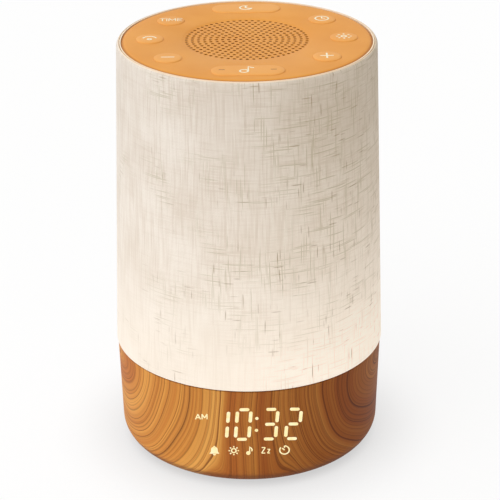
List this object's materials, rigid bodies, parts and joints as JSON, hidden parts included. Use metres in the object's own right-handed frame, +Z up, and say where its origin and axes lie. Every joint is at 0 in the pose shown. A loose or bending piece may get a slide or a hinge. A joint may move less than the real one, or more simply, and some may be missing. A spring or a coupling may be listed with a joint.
{
  "type": "sunrise alarm clock",
  "caption": "Round bedside lamp clock with a wood-look base, light-through display, linen shade, and a control panel with speaker grille and press keys on top.",
  "frame": {"origin": "centre of the footprint, on the surface that the feet stand on", "axes": "+Z up, the display faces -Y and the power socket faces +Y"},
  "size_m": [0.12, 0.12, 0.1888],
  "materials": {
    "wood_look_shell": "satin wood-grain skin",
    "foot_rubber": "matt",
    "screw_steel": "plain",
    "circuit_board": "green solder mask",
    "lamp_board_metal": "white solder mask",
    "socket_steel": "plain",
    "black_plastic": "matt",
    "capacitor_can": "plain",
    "white_plastic": "matt",
    "clear_plastic": "clear acrylic",
    "lamp_diode": "phosphor",
    "ribbon_insulation": "flat grey ribbon",
    "diffuser_plastic": "translucent opal",
    "linen": "slub linen weave",
    "cream_plastic": "satin",
    "orange_plastic": "soft matt",
    "foam": "open foam",
    "speaker_paper": "pulp cone",
    "magnet_iron": "ferrite"
  },
  "bodies": {
    "clock_body": {"base_screws": "screw_steel", "base_shell": "wood_look_shell", "cable_duct": "white_plastic", "control_chips": "black_plastic", "display_board": "circuit_board", "display_header": "black_plastic", "display_lens": "clear_plastic", "display_light_box": "white_plastic", "display_screws": "screw_steel", "harness": "ribbon_insulation", "harness_plug": "white_plastic", "key_board": "circuit_board", "key_switches": "black_plastic", "lamp_board": "lamp_board_metal", "lamp_lead": "ribbon_insulation", "lamp_leds": "lamp_diode", "light_deck": "white_plastic", "main_board": "circuit_board", "power_socket": "socket_steel", "rubber_feet": "foot_rubber", "shade_diffuser": "diffuser_plastic", "shade_fabric": "linen", "speaker_basket": "screw_steel", "speaker_cone": "speaker_paper", "speaker_gasket": "foam", "speaker_magnet": "magnet_iron", "supply_capacitor": "capacitor_can", "top_panel": "orange_plastic", "top_rim": "cream_plastic", "top_tray": "white_plastic", "tray_screws": "screw_steel"},
    "sleep_button": {"sleep_key": "orange_plastic", "sleep_plunger": "black_plastic"},
    "sound_button": {"sound_key": "orange_plastic", "sound_plunger": "black_plastic"},
    "time_button": {"time_key": "orange_plastic", "time_plunger": "black_plastic"},
    "light_button": {"light_key": "orange_plastic", "light_plunger": "black_plastic"},
    "volume_down_button": {"volume_down_key": "orange_plastic", "volume_down_plunger": "black_plastic"},
    "volume_up_button": {"volume_up_key": "orange_plastic", "volume_up_plunger": "black_plastic"},
    "brightness_button": {"brightness_key": "orange_plastic", "brightness_plunger": "black_plastic"},
    "timer_button": {"timer_key": "orange_plastic", "timer_plunger": "black_plastic"}
  },
  "joints": [
    {"name": "sleep_press", "type": "slide", "parent": "clock_body", "child": "sleep_button", "axis": [0, 0, -1], "range_m": [0, 0.0008], "stiffness_N_per_m": 400, "springref_m": -0.0005},
    {"name": "sound_press", "type": "slide", "parent": "clock_body", "child": "sound_button", "axis": [0, 0, -1], "range_m": [0, 0.0008], "stiffness_N_per_m": 400, "springref_m": -0.0005},
    {"name": "time_press", "type": "slide", "parent": "clock_body", "child": "time_button", "axis": [0, 0, -1], "range_m": [0, 0.0008], "stiffness_N_per_m": 400, "springref_m": -0.0005},
    {"name": "light_press", "type": "slide", "parent": "clock_body", "child": "light_button", "axis": [0, 0, -1], "range_m": [0, 0.0008], "stiffness_N_per_m": 400, "springref_m": -0.0005},
    {"name": "volume_down_press", "type": "slide", "parent": "clock_body", "child": "volume_down_button", "axis": [0, 0, -1], "range_m": [0, 0.0008], "stiffness_N_per_m": 400, "springref_m": -0.0005},
    {"name": "volume_up_press", "type": "slide", "parent": "clock_body", "child": "volume_up_button", "axis": [0, 0, -1], "range_m": [0, 0.0008], "stiffness_N_per_m": 400, "springref_m": -0.0005},
    {"name": "brightness_press", "type": "slide", "parent": "clock_body", "child": "brightness_button", "axis": [0, 0, -1], "range_m": [0, 0.0008], "stiffness_N_per_m": 400, "springref_m": -0.0005},
    {"name": "timer_press", "type": "slide", "parent": "clock_body", "child": "timer_button", "axis": [0, 0, -1], "range_m": [0, 0.0008], "stiffness_N_per_m": 400, "springref_m": -0.0005}
  ]
}
